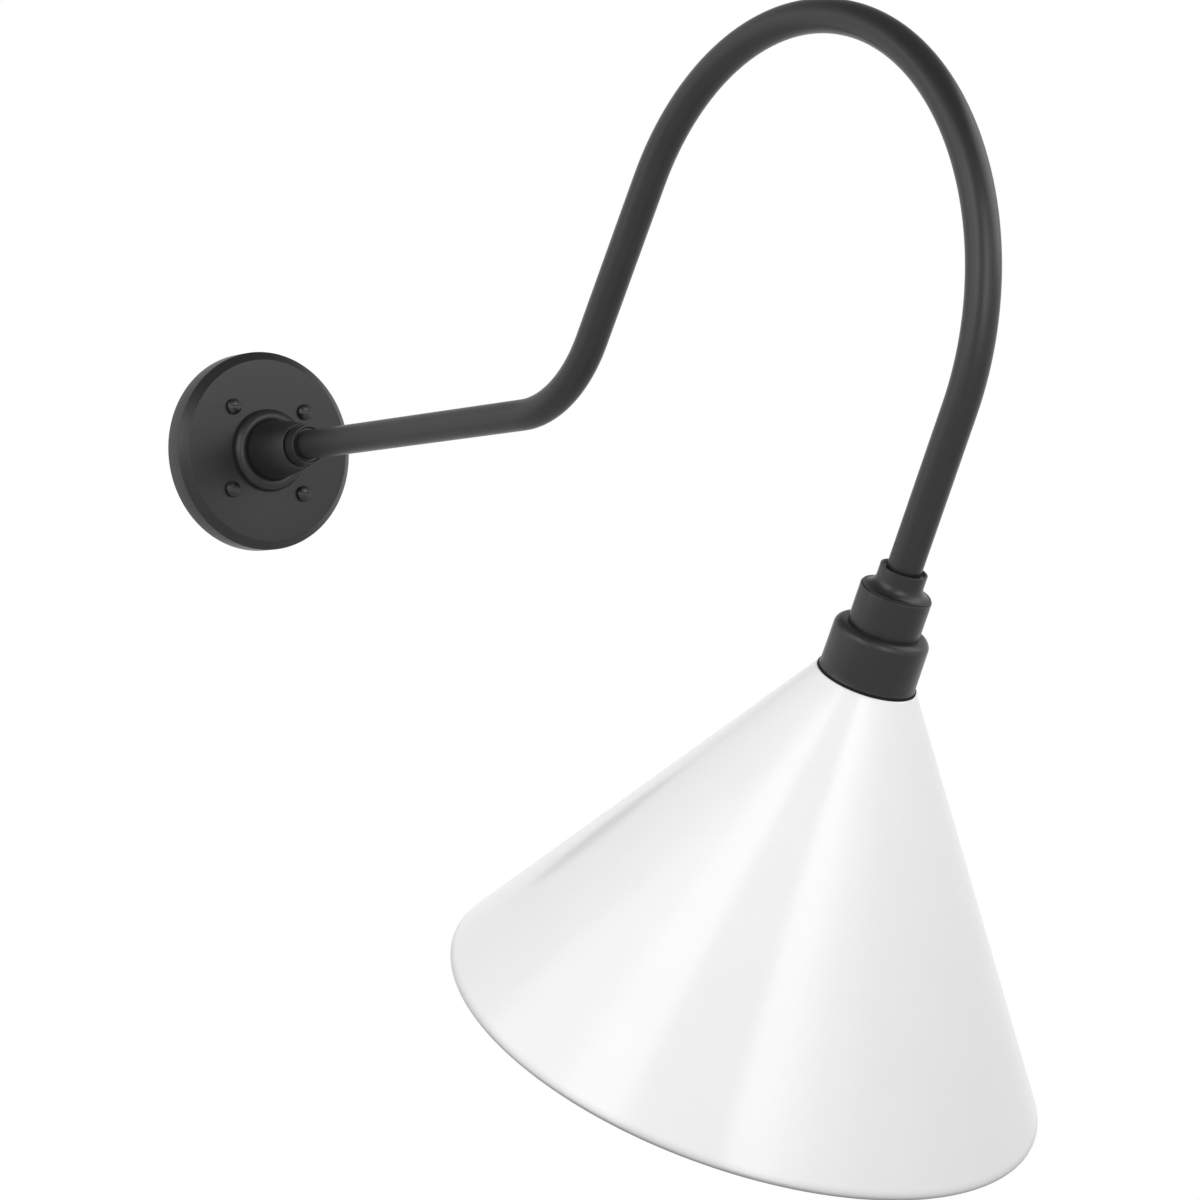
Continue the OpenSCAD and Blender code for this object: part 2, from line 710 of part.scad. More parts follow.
module lamp_glass() {
    shoulder_angle = 36;
    neck = [glass_neck_r, cap_bottom_z - 4];
    shoulder = [0, globe_z] + globe_r * along(shoulder_angle);
    inner_shoulder = [0, globe_z] + (globe_r - glass_t) * along(shoulder_angle);
    inner_neck = neck - [glass_t, 0];
    curve_r = 60;
    color("white") at_seat() revolve(concat(
        arc([0, globe_z], globe_r, -90, shoulder_angle, 18),
        backwards(bow(neck, shoulder, curve_r, 6)),
        [[glass_neck_r, cap_bottom_z + 10], [glass_neck_r - glass_t, cap_bottom_z + 10]],
        bow(inner_neck, inner_shoulder, curve_r, 6),
        backwards(arc([0, globe_z], globe_r - glass_t, -90, shoulder_angle, 18))
    ));
}

module lamp_cap() color(brass) at_seat() revolve([
    [cap_r, cap_bottom_z],
    [cap_r, cap_top_z - 2],
    [cap_r - 1.8, cap_top_z],
    [eye_r, cap_top_z],
    [eye_r, cap_top_z - cap_t],
    [cap_bore_r - 1.8, cap_top_z - cap_t],
    [cap_bore_r, cap_top_z - 2 - cap_t],
    [cap_bore_r, cap_bottom_z]
]);

module lamp_insulator() color(soft_black) at_seat() revolve([
    [0, cap_top_z - 1],
    [eye_r, cap_top_z - 1],
    [eye_r, cap_top_z],
    [cap_r - 3, cap_top_z],
    [lamp_tip_r, cap_top_z + insulator_h],
    [0, cap_top_z + insulator_h]
]);

module lamp_contact() color(steel) at_seat() revolve(concat(
    [[0, tip_z - tip_h], [lamp_tip_r, tip_z - tip_h]],
    [[lamp_tip_r - 0.6, tip_z - tip_h / 3], [lamp_tip_r - 2, tip_z], [0, tip_z]]
));

wall_gasket();
wall_plate();
plate_screws();
arm_hub();
hub_locknut();
hub_set_screw();
arm_collar();
arm_tube();
arm_neck();
neck_set_screw();
socket_housing();
housing_set_screw();
shade_cup();
shade_gasket();
shade();
shade_ring();
lampholder();
screw_shell();
centre_contact();
holder_screws();
live_lead();
neutral_lead();
ground_lead();
ground_terminal();
ground_screw();
lead_ends();
lamp_glass();
lamp_cap();
lamp_insulator();
lamp_contact();
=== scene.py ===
import math

import bmesh
import bpy
from mathutils import Matrix, Vector


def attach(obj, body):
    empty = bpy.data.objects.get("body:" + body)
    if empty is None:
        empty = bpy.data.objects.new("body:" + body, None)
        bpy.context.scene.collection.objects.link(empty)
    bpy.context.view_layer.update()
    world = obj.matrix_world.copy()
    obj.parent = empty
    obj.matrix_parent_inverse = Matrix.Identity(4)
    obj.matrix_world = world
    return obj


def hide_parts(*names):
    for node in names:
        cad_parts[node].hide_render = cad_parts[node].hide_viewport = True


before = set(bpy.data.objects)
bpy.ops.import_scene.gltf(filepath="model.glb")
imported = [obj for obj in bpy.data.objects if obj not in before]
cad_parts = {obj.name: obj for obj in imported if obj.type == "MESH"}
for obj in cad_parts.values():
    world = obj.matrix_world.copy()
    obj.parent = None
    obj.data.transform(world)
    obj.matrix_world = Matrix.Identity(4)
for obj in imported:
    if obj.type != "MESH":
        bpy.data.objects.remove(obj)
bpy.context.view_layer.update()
mm = 0.001

# Camera, set from the plate's circle, the arm's edges and the shade's rim
photoView = {
    "azimuth": -36.461,  # degrees from straight out of the wall, to the left
    "elevation": -3.054,  # degrees, from a little below
    "roll": 0.367,
    "place": (-1.40825, -2.35018, -0.25608),
    "lens": 108.05,
    "sensor": 36.0,
}


def direction(azimuth, elevation):
    # Straight out from the wall at azimuth 0
    level = math.cos(elevation)
    return Vector((math.sin(azimuth) * level, -math.cos(azimuth) * level, math.sin(elevation)))


def placeCamera(view):
    azimuth, elevation, roll = (math.radians(view[part]) for part in ("azimuth", "elevation", "roll"))
    back = direction(azimuth, elevation)
    level = Vector((math.cos(azimuth), math.sin(azimuth), 0))
    upright = back.cross(level)
    across = level * math.cos(roll) + upright * math.sin(roll)
    up = upright * math.cos(roll) - level * math.sin(roll)
    camera = bpy.data.objects.new("photoCamera", bpy.data.cameras.new("photoCamera"))
    camera.data.lens = view["lens"]
    camera.data.sensor_width = view["sensor"]
    camera.data.clip_end = 50
    bpy.context.scene.collection.objects.link(camera)
    aim = Matrix((across, up, back)).transposed().to_4x4()
    camera.matrix_world = Matrix.Translation(view["place"]) @ aim
    bpy.context.scene.camera = camera


placeCamera(photoView)
print("camera placed")


# Shader maths: a socket that takes + - * and **
class Signal:
    def __init__(self, recipe, socket):
        self.recipe = recipe
        self.socket = socket

    def maths(self, operation, *values):
        return self.recipe.node("ShaderNodeMath", {"operation": operation}, dict(enumerate(values)))

    def __add__(self, other):
        return self.maths("ADD", self, other)

    def __radd__(self, other):
        return self.maths("ADD", other, self)

    def __sub__(self, other):
        return self.maths("SUBTRACT", self, other)

    def __rsub__(self, other):
        return self.maths("SUBTRACT", other, self)

    def __mul__(self, other):
        return self.maths("MULTIPLY", self, other)

    def __rmul__(self, other):
        return self.maths("MULTIPLY", other, self)

    def __pow__(self, other):
        return self.maths("POWER", self, other)

    def __rpow__(self, other):
        return self.maths("POWER", other, self)


class Recipe:
    def __init__(self, tree):
        self.tree = tree
        tree.nodes.clear()

    def node(self, kind, settings=None, sockets=None, output=0):
        made = self.tree.nodes.new(kind)
        for name, value in (settings or {}).items():
            setattr(made, name, value)
        for name, value in (sockets or {}).items():
            if isinstance(value, Signal):
                self.tree.links.new(value.socket, made.inputs[name])
            else:
                made.inputs[name].default_value = value
        return Signal(self, made.outputs[output]) if len(made.outputs) else None

    def noise(self, place, grain, detail=2.0, roughness=0.5):
        sockets = {"Vector": place, "Scale": 1 / (grain * mm), "Detail": detail, "Roughness": roughness}
        return self.node("ShaderNodeTexNoise", {}, sockets)

    def spread(self, signal, low, high, start=0.3, stop=0.7):
        # Noise seldom leaves 0.3 to 0.7
        sockets = {0: signal, 1: start, 2: stop, 3: low, 4: high}
        return self.node("ShaderNodeMapRange", {"clamp": True}, sockets)

    def colours(self, mask, first, second):
        return self.node("ShaderNodeMix", {"data_type": "RGBA"}, {0: mask, 6: first, 7: second}, 2)

    def along(self, place, axis):
        return self.node("ShaderNodeVectorMath", {"operation": "DOT_PRODUCT"}, {0: place, 1: axis}, "Value")


def newMaterial(name):
    material = bpy.data.materials.new(name)
    material.use_nodes = True
    return material, Recipe(material.node_tree)


def rgb(red, green, blue):
    return (red, green, blue, 1.0)


# Any painted, moulded, rubber, glass or glazed surface. Patch, grain and depth are in millimetres.
def surface(name, look):
    material, recipe = newMaterial(name)
    place = recipe.node("ShaderNodeTexCoord", output="Object")
    cloud = recipe.noise(place, look["patch"], detail=3.0)
    speck = recipe.noise(place, look["grain"], detail=2.0, roughness=0.6)
    tone = recipe.spread(cloud * 0.6 + speck * 0.4, 0.0, 1.0)
    low, high = look["roughness"]
    height = speck * 0.7 + recipe.noise(place, look["grain"] * 0.35, detail=1.0) * 0.3
    bump = recipe.node("ShaderNodeBump", {}, {
        "Strength": look["bump"], "Distance": look["depth"] * mm, "Height": height,
    })
    colour = recipe.colours(tone, rgb(*look["dark"]), rgb(*look["light"]))
    # Painted shade: towards the given edge along an axis, the base colour is darkened to the rim colour,
    # standing in for the shade on a rolled rim's underside
    if "rim" in look:
        rim = look["rim"]
        start, stop = (rim["edge"] - reach for reach in rim["reach"])
        down = recipe.along(place, rim["axis"])
        paintedRimShade = recipe.spread(down, 0.0, 1.0, start * mm, stop * mm) ** rim["curve"]
        colour = recipe.colours(paintedRimShade * (0.8 + 0.4 * cloud), colour, rgb(*rim["colour"]))
    sockets = {
        "Base Color": colour,
        "Roughness": recipe.spread(cloud * 0.5 + speck * 0.5, low, high),
        "Normal": bump,
    }
    sockets.update(look.get("sockets", {}))
    shader = recipe.node("ShaderNodeBsdfPrincipled", {}, sockets)
    recipe.node("ShaderNodeOutputMaterial", {}, {"Surface": shader})
    return material


# Bare or plated metal, with marks that run along one axis
def metal(name, look):
    material, recipe = newMaterial(name)
    place = recipe.node("ShaderNodeTexCoord", output="Object")
    drawn = recipe.node("ShaderNodeVectorMath", {"operation": "MULTIPLY"}, {0: place, 1: look["stretch"]})
    lines = recipe.noise(drawn, look["grain"], detail=3.0, roughness=0.6)
    cloud = recipe.noise(place, look["patch"], detail=3.0)
    low, high = look["roughness"]
    bump = recipe.node("ShaderNodeBump", {}, {
        "Strength": look["bump"], "Distance": look["depth"] * mm, "Height": lines,
    })
    tone = recipe.spread(cloud, 0.0, 1.0)
    sockets = {
        "Base Color": recipe.colours(tone, rgb(*look["dark"]), rgb(*look["light"])),
        "Roughness": recipe.spread(lines * 0.5 + cloud * 0.5, low, high),
        "Metallic": 1.0,
        "Normal": bump,
    }
    shader = recipe.node("ShaderNodeBsdfPrincipled", {}, sockets)
    recipe.node("ShaderNodeOutputMaterial", {}, {"Surface": shader})
    return material


blackCoat = surface("satinBlackPowderCoat", {
    "dark": (0.0135, 0.0136, 0.0139),
    "light": (0.017, 0.0171, 0.0174),
    "patch": 22,
    "grain": 0.9,
    "depth": 0.05,
    "bump": 0.22,
    "roughness": (0.32, 0.39),
    "sockets": {"Specular IOR Level": 0.41},
})
blackScrew = surface("blackScrewPaint", {
    "dark": (0.009, 0.0092, 0.0096),
    "light": (0.015, 0.0152, 0.0156),
    "patch": 4,
    "grain": 0.5,
    "depth": 0.03,
    "bump": 0.2,
    "roughness": (0.22, 0.3),
})
whiteEnamel = surface("whiteGlossEnamel", {
    "dark": (0.85, 0.85, 0.845),
    "light": (0.87, 0.87, 0.867),
    "patch": 45,
    "grain": 2.6,
    "depth": 0.02,
    "bump": 0.05,
    "roughness": (0.15, 0.19),
    # Painted shade: the base colour darkens on the rolled rim's underside, for the shade that falls there
    "rim": {
        "axis": (0.0, 0.46947, -0.88295),
        "edge": 75.2,  # the rim's place along the axis
        "reach": (7.5, 0.6),  # how far from it the painted shade begins, and where it is darkest
        "curve": 2.5,
        # the darkest colour of the painted shade
        "colour": (0.15, 0.15, 0.15),
    },
})
softBlack = surface("blackRubber", {
    "dark": (0.006, 0.006, 0.006),
    "light": (0.010, 0.010, 0.010),
    "patch": 9,
    "grain": 0.35,
    "depth": 0.06,
    "bump": 0.5,
    "roughness": (0.68, 0.82),
    "sockets": {"Specular IOR Level": 0.2},
})
porcelain = surface("glazedPorcelain", {
    "dark": (0.80, 0.785, 0.74),
    "light": (0.86, 0.845, 0.80),
    "patch": 14,
    "grain": 1.6,
    "depth": 0.05,
    "bump": 0.12,
    "roughness": (0.1, 0.2),
})
leadPlastic = {
    "patch": 8,
    "grain": 0.5,
    "depth": 0.03,
    "bump": 0.2,
    "roughness": (0.38, 0.5),
}
leadBlack = surface("blackLeadJacket", {
    **leadPlastic, "dark": (0.014, 0.014, 0.014), "light": (0.02, 0.02, 0.02),
})
leadWhite = surface("whiteLeadJacket", {
    **leadPlastic, "dark": (0.72, 0.72, 0.7), "light": (0.8, 0.8, 0.78),
})
leadGreen = surface("greenLeadJacket", {
    **leadPlastic, "dark": (0.03, 0.2, 0.065), "light": (0.045, 0.26, 0.09),
})
groundGreen = surface("greenScrewPaint", {
    **leadPlastic, "dark": (0.035, 0.2, 0.08), "light": (0.06, 0.27, 0.11),
})
lampBlack = surface("blackGlassInsulator", {
    **leadPlastic, "dark": (0.012, 0.012, 0.016), "light": (0.02, 0.02, 0.026), "roughness": (0.08, 0.16),
})
lampWhite = surface("opalLampGlass", {
    "dark": (0.86, 0.86, 0.845),
    "light": (0.9, 0.9, 0.885),
    "patch": 18,
    "grain": 0.8,
    "depth": 0.02,
    "bump": 0.06,
    "roughness": (0.22, 0.3),
    "sockets": {
        "Subsurface Weight": 0.3,
        "Subsurface Radius": (0.004, 0.004, 0.004),
        "Subsurface Scale": 1.0,
    },
})
zinc = metal("brightZincPlate", {
    "dark": (0.5, 0.51, 0.53),
    "light": (0.66, 0.665, 0.67),
    "stretch": (1.0, 1.0, 6.0),
    "patch": 3.5,
    "grain": 1.2,
    "depth": 0.02,
    "bump": 0.2,
    "roughness": (0.26, 0.42),
})
brass = metal("pressedBrass", {
    "dark": (0.58, 0.39, 0.14),
    "light": (0.74, 0.54, 0.24),
    "stretch": (1.0, 1.0, 5.0),
    "patch": 4,
    "grain": 1.0,
    "depth": 0.02,
    "bump": 0.15,
    "roughness": (0.22, 0.36),
})
copper = metal("strandedCopper", {
    "dark": (0.6, 0.24, 0.12),
    "light": (0.8, 0.42, 0.26),
    "stretch": (1.0, 1.0, 0.15),
    "patch": 1.5,
    "grain": 0.3,
    "depth": 0.1,
    "bump": 0.6,
    "roughness": (0.25, 0.4),
})
lampMetal = metal("rolledLampCap", {
    "dark": (0.62, 0.62, 0.62),
    "light": (0.76, 0.76, 0.755),
    "stretch": (1.0, 1.0, 4.0),
    "patch": 3,
    "grain": 0.8,
    "depth": 0.02,
    "bump": 0.2,
    "roughness": (0.24, 0.36),
})
solder = metal("leadFreeSolder", {
    "dark": (0.42, 0.43, 0.45),
    "light": (0.6, 0.61, 0.62),
    "stretch": (1.0, 1.0, 1.0),
    "patch": 1.5,
    "grain": 0.6,
    "depth": 0.12,
    "bump": 0.5,
    "roughness": (0.3, 0.5),
})
print("materials made")


# Outlines are lists of (radius, height) in millimetres, and a third number rounds that corner
def arcPoints(centre, radius, start, stop, steps):
    turns = [math.radians(start + (stop - start) * step / steps) for step in range(steps + 1)]
    return [(centre[0] + radius * math.cos(turn), centre[1] + radius * math.sin(turn)) for turn in turns]


def bowPoints(first, last, radius, steps):
    # A shallow arc that bulges to the right of the way from first to last
    start, end = Vector(first), Vector(last)
    way = end - start
    half = way.length / 2
    side = Vector((-way.y, way.x)).normalized()
    centre = (start + end) / 2 + side * math.sqrt(radius * radius - half * half)
    begin = math.atan2(start.y - centre.y, start.x - centre.x)
    sweep = 2 * math.asin(half / radius)
    turns = [begin + sweep * step / steps for step in range(steps + 1)]
    return [(centre.x + radius * math.cos(turn), centre.y + radius * math.sin(turn)) for turn in turns]


def rounded(points, steps=5):
    outline = []
    for index, point in enumerate(points):
        here = Vector(point[:2])
        radius = point[2] if len(point) > 2 else 0
        before = Vector(points[index - 1][:2]) - here
        after = Vector(points[(index + 1) % len(points)][:2]) - here
        if radius <= 0 or before.length < 1e-6 or after.length < 1e-6:
            outline.append((here.x, here.y))
            continue
        corner = before.angle(after)
        reach = min(radius / math.tan(corner / 2), before.length * 0.48, after.length * 0.48)
        begin = here + before.normalized() * reach
        end = here + after.normalized() * reach
        for step in range(steps + 1):
            part = step / steps  # a quadratic curve is close to the arc at these sizes
            spot = begin.lerp(here, part).lerp(here.lerp(end, part), part)
            outline.append((spot.x, spot.y))
    return outline


threadStep = 0.3  # millimetres between an outline's points where a thread is cut
plainStep = 9.0


def divided(outline, spacing):
    # Adds points on long stretches, so that threads and shading have something to hold
    result = []
    for index, point in enumerate(outline):
        here, following = Vector(point), Vector(outline[(index + 1) % len(outline)])
        count = max(1, int((following - here).length / spacing))
        result += [tuple(here.lerp(following, step / count)) for step in range(count)]
    return result


# A place whose height axis is the distance from the wall
fromWall = Matrix(((1, 0, 0, 0), (0, 0, -1, 0), (0, 1, 0, 0), (0, 0, 0, 1)))


def smoothShade(mesh, sharp=35):
    # Edges between faces that turn by more than the angle stay sharp
    mesh.shade_smooth()
    mesh.set_sharp_from_angle(angle=math.radians(sharp))


def newPiece(name, form, material):
    # Makes the bmesh form an object with smooth shading
    bmesh.ops.recalc_face_normals(form, faces=form.faces)
    mesh = bpy.data.meshes.new(name)
    form.to_mesh(mesh)
    form.free()
    mesh.materials.append(material)
    smoothShade(mesh)
    piece = bpy.data.objects.new(name, mesh)
    bpy.context.scene.collection.objects.link(piece)
    return piece


def threadDepth(thread, radius, height, turn):
    # How deep the thread is cut at a height and a part of a turn
    if not thread or radius < thread["above"] or not thread["from"] <= height <= thread["to"]:
        return 0.0
    phase = height / thread["pitch"] - turn
    fade = min(1, (height - thread["from"]) / thread["fade"], (thread["to"] - height) / thread["fade"])
    return thread["depth"] * fade * (0.5 - 0.5 * math.cos(2 * math.pi * phase))


def lathe(form, outline, place, sides=160, thread=None):
    # Turns a closed outline round the height axis of place, into the bmesh form
    rings = []
    for radius, height in outline:
        if radius < 1e-4:
            rings.append([form.verts.new(place @ Vector((0, 0, height * mm)))])
            continue
        ring = []
        for side in range(sides):
            angle = 2 * math.pi * side / sides
            reach = radius - threadDepth(thread, radius, height, side / sides)
            ring.append(form.verts.new(place @ Vector((
                reach * math.cos(angle) * mm, reach * math.sin(angle) * mm, height * mm,
            ))))
        rings.append(ring)
    for index, ring in enumerate(rings):
        following = rings[(index + 1) % len(rings)]
        if len(ring) == 1 and len(following) == 1:
            continue
        for side in range(sides):
            corners = [ring[side % len(ring)], ring[(side + 1) % sides % len(ring)]]
            corners += [following[(side + 1) % sides % len(following)], following[side % len(following)]]
            unique = list(dict.fromkeys(corners))
            if len(unique) > 2:
                form.faces.new(unique)


def turned(name, material, outline, place, sides=160, thread=None):
    form = bmesh.new()
    lathe(form, outline, place, sides, thread)
    return newPiece(name, form, material)


def dress(piece, slot, *nodes, body="fixture"):
    if nodes:
        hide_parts(*nodes)
    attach(piece, body)
    return piece


def carve(piece, form, operation="DIFFERENCE", broken=0.0):
    # Cuts a form out of a piece, or keeps only what lies in it, and breaks the edges where asked
    bmesh.ops.recalc_face_normals(form, faces=form.faces)
    mesh = bpy.data.meshes.new("cutter")
    form.to_mesh(mesh)
    form.free()
    cutter = bpy.data.objects.new("cutter", mesh)
    bpy.context.scene.collection.objects.link(cutter)
    cut = piece.modifiers.new("cut", "BOOLEAN")
    cut.operation = operation
    cut.solver = "EXACT"
    cut.object = cutter
    if broken:
        edges = piece.modifiers.new("edges", "BEVEL")
        edges.width = broken * mm
        edges.segments = 2
        edges.limit_method = "ANGLE"
        edges.angle_limit = math.radians(40)
    bpy.context.view_layer.update()
    piece.data = bpy.data.meshes.new_from_object(piece.evaluated_get(bpy.context.evaluated_depsgraph_get()))
    piece.modifiers.clear()
    bpy.data.objects.remove(cutter)
    if not broken:
        smoothShade(piece.data)


def drill(piece, *holes):
    # Round holes: (place, radius, start, stop), where start and stop are heights of that place
    form = bmesh.new()
    for place, radius, start, stop in holes:
        lathe(form, [(0.0, start), (radius, start), (radius, stop), (0.0, stop)], place, sides=40)
    carve(piece, form)


# Wall plate, with its gasket and screws
wallGasket = {
    "radius": 74.0,
    "opening": 33.0,
    "thickness": 1.5,
    "edge": 0.35,
    "screwHole": 3.05,
}
plate = {
    "radius": 75.0,
    "side": 17.0,
    "face": 22.0,
    "faceRadius": 68.8,
    "back": 1.5,
    "wall": 4.5,
    "pad": 16.0,
    "padRadius": 24.0,
    "hole": 15.1,
    "edge": 0.9,
    "screwHole": 2.95,
    "bossRadius": 7.65,
    "ribWidth": 3.0,
    "ribHeight": 7.0,
    "screwCircle": 44.0,
    "screwAngles": (45, 135, 225, 315),
}
screw = {
    "head": 5.9,
    "height": 4.4,
    "side": 1.6,
    "slotWidth": 1.5,
    "slotDepth": 1.7,
    "shank": 2.75,
    "core": 1.95,
    "pitch": 2.1,
    "tip": -22.0,
    "point": 6.0,
    "brokenEdge": 0.12,
}


def screwPlace(angle):
    turn = fromWall @ Matrix.Rotation(math.radians(angle), 4, "Z")
    return turn @ Matrix.Translation((plate["screwCircle"] * mm, 0, 0))


def makeWallGasket(size):
    outline = rounded([
        (size["opening"], 0.0, size["edge"]),
        (size["radius"], 0.0, size["edge"]),
        (size["radius"], size["thickness"], size["edge"]),
        (size["opening"], size["thickness"], size["edge"]),
    ])
    ring = turned("wallGasket", softBlack, divided(outline, plainStep), fromWall, sides=192)
    through = size["screwHole"], -1, size["thickness"] + 1
    drill(ring, *[(screwPlace(angle), *through) for angle in plate["screwAngles"]])
    dress(ring, "soft_black", "wall_gasket")


def makePlate(size):
    inner = size["face"] - size["wall"]
    bevel = size["face"] - size["side"]
    outline = rounded([
        (size["hole"], size["face"], 0.3),
        (size["faceRadius"], size["face"], size["edge"]),
        (size["radius"], size["side"], size["edge"]),
        (size["radius"], size["back"], 0.4),
        (size["radius"] - size["wall"], size["back"], 0.4),
        (size["radius"] - size["wall"], inner - bevel, 1.5),
        (size["radius"] - size["wall"] - bevel, inner, 1.5),
        (size["padRadius"], inner, 0.8),
        (size["padRadius"], size["pad"], 0.4),
        (size["hole"], size["pad"], 0.3),
    ])
    form = bmesh.new()
    lathe(form, divided(outline, plainStep), fromWall, sides=192)
    for angle in size["screwAngles"]:
        place = screwPlace(angle)
        bossTop = size["face"] - 1  # inside the plate
        boss = [(size["screwHole"], size["back"], 0.2), (size["bossRadius"], size["back"], 0.5)]
        boss += [(size["bossRadius"], bossTop), (size["screwHole"], bossTop)]
        lathe(form, rounded(boss), place, sides=48)
        length = (size["radius"] - size["wall"] + 0.5 - size["screwCircle"]) * mm
        sunk = size["wall"] / 2  # how far the rib reaches into the plate
        rib = bmesh.ops.create_cube(form, size=1.0)["verts"]
        for corner in rib:
            corner.co = place @ Vector((
                (corner.co.x + 0.5) * length,
                corner.co.y * size["ribWidth"] * mm,
                (inner + sunk - (0.5 - corner.co.z) * (size["ribHeight"] + sunk)) * mm,
            ))
    dress(newPiece("wallPlate", form, blackCoat), "black_coat", "wall_plate")


def cutSlot(piece, size, place):
    # Cuts a straight slot in a round head, and breaks the edges
    form = bmesh.new()
    bmesh.ops.create_cube(form, size=1.0)
    for corner in form.verts:
        corner.co = place @ Vector((
            corner.co.x * 4 * size["head"] * mm,
            corner.co.y * size["slotWidth"] * mm,
            (size["height"] - size["slotDepth"] + (corner.co.z + 0.5) * 2 * size["height"]) * mm,
        ))
    carve(piece, form, broken=size["brokenEdge"])


def headOutline(size):
    # A straight side, and a dome on it
    rise = size["height"] - size["side"]
    steps = 14
    turns = [math.pi / 2 * step / steps for step in range(steps)]
    dome = [(size["head"] * math.cos(turn), size["side"] + rise * math.sin(turn)) for turn in turns]
    return [(0.0, 0.0), (size["head"] - 0.25, 0.0), (size["head"], 0.3)] + dome + [(0.0, size["height"])]


def makePlateScrews(plateSize, size):
    face, reach = plateSize["face"], plateSize["screwCircle"]
    inHead = face + 0.2  # the shank ends just inside the head
    thread = {
        "above": 0.3, "from": size["tip"] + 0.4, "to": -1.0, "fade": 3.0,
        "pitch": size["pitch"], "depth": size["shank"] - size["core"],
    }
    outline = [(0.0, size["tip"])]
    outline += [(0.45, size["tip"] + 0.5), (size["shank"], size["tip"] + size["point"])]
    outline += [(size["shank"], inHead), (0.0, inHead)]
    outline = divided(outline, threadStep)
    parts = []
    for number, angle in enumerate(plateSize["screwAngles"]):
        spot = math.radians(angle)
        place = fromWall @ Matrix.Translation((reach * math.cos(spot) * mm, reach * math.sin(spot) * mm, 0))
        seat = place @ Matrix.Translation((0, 0, face * mm))
        head = turned(f"plateScrewHead{number + 1}", blackScrew, headOutline(size), seat, sides=96)
        cutSlot(head, size, seat)
        shank = turned(f"plateScrewShank{number + 1}", blackScrew, outline, place, sides=40, thread=thread)
        parts += [dress(head, "black_screw"), dress(shank, "black_screw")]
    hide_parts("plate_screws")


makeWallGasket(wallGasket)
makePlate(plate)
makePlateScrews(plate, screw)
print("plate and screws made")

# Hub and the collar in its nose
hub = {
    "foot": 31.0,
    "footUndercut": 0.6,
    "bead": 5.8,
    "beadTurn": 120,
    "footHeight": 1.6,
    "length": 47.0,
    "curve": 280.0,
    "noseRadius": 16.95,
    "noseEdge": 0.8,
    "recessRadius": 15.75,
    "recess": 3.0,
    "recessShown": 1.3,
    "recessEdge": 0.35,
    "spigot": 15.0,
    "spigotEnd": 9.5,
    "spigotChamfer": 0.7,
    "wireHole": 8.65,
    "pipeHole": 10.85,
    "pipeStart": 28.0,
    "spigotThread": {"above": 14.9, "from": 10.2, "to": 20.0, "fade": 0.6, "pitch": 1.8, "depth": 0.55},
    "setScrewHole": 2.1,
    "setScrewHeight": 60.0,
    "setScrewAngle": -55.0,
}
locknut = {
    "flats": 40.0,
    "bore": 15.1,
    "low": 11.0,
    "high": 16.0,
    "chamfer": 3.0,
    "chamferRise": 1.5,
}
collar = {
    "bore": 10.85,
    "radius": 14.65,
    "length": 11.5,
    "lip": 1.5,
    "dish": 1.4,
}


def makeHub(size, face):
    beadCentre = (size["foot"] - size["bead"], face + size["footHeight"])
    bodyFoot = arcPoints(beadCentre, size["bead"], size["beadTurn"], size["beadTurn"], steps=1)[0]
    nose = face + size["length"]
    bodyNose = (size["noseRadius"], nose - size["noseEdge"])
    spigotEdge = (size["spigot"], size["spigotEnd"] + size["spigotChamfer"])
    outline = [
        (size["wireHole"], size["spigotEnd"]),
        (size["spigot"] - size["spigotChamfer"], size["spigotEnd"]),
    ]
    outline += divided([spigotEdge, (size["spigot"], face)], spacing=0.25)[:-1]
    outline += [
        (size["foot"] - size["footUndercut"], face),
        (size["foot"] - size["footUndercut"] * 0.9, face + 0.5),
    ]
    outline += arcPoints(beadCentre, size["bead"], -14, size["beadTurn"], steps=34)
    outline += bowPoints(bodyFoot, bodyNose, size["curve"], steps=24)[1:]
    noseCentre = (size["noseRadius"] - size["noseEdge"], bodyNose[1])
    outline += arcPoints(noseCentre, size["noseEdge"], 15, 90, steps=6)
    ledge = collar["radius"] - 0.3  # reaches just into the collar
    outline += rounded([
        (size["recessRadius"] + 0.45, nose),
        (size["recessRadius"], nose, size["recessEdge"]),
        (size["recessRadius"], nose - size["recessShown"], 0.2),
        (ledge, nose - size["recessShown"]),
        (ledge, nose - size["recess"]),
        (size["pipeHole"], nose - size["recess"]),
        (size["pipeHole"], size["pipeStart"]),
    ])[1:]
    outline += [(size["wireHole"], size["pipeStart"])]
    piece = turned("armHub", blackCoat, outline, fromWall, thread=size["spigotThread"])
    turn = Matrix.Rotation(math.radians(size["setScrewAngle"]), 4, "Z")
    aim = turn @ Matrix.Rotation(math.pi / 2, 4, "Y")
    place = fromWall @ Matrix.Translation((0, 0, size["setScrewHeight"] * mm)) @ aim
    drill(piece, (place, size["setScrewHole"], size["pipeHole"] - 1, size["foot"]))
    dress(piece, "black_coat", "arm_hub")


def makeLocknut(size):
    corner = size["flats"] / 2 / math.cos(math.pi / 6)
    low, high = size["low"], size["high"]
    outline = rounded([
        (size["bore"], low, 0.5),
        (corner - size["chamfer"], low, 0.3),
        (corner, low + size["chamferRise"], 0.3),
        (corner, high - size["chamferRise"], 0.3),
        (corner - size["chamfer"], high),
        (size["bore"], high),
    ])
    nut = turned("hubLocknut", zinc, outline, fromWall, sides=120)
    form = bmesh.new()
    lathe(form, [(0.0, low - 1), (corner, low - 1), (corner, high + 1), (0.0, high + 1)], fromWall, sides=6)
    carve(nut, form, "INTERSECT")
    dress(nut, "zinc", "hub_locknut")


def collarEnd(size, end):
    # The thin lip round the pipe, with the dish inside it
    return [
        (size["radius"], end, 0.35),
        (size["radius"] - size["lip"], end, 0.35),
        (size["radius"] - size["lip"] - 0.5, end - size["dish"], 0.2),
        (size["bore"], end - size["dish"]),
    ]


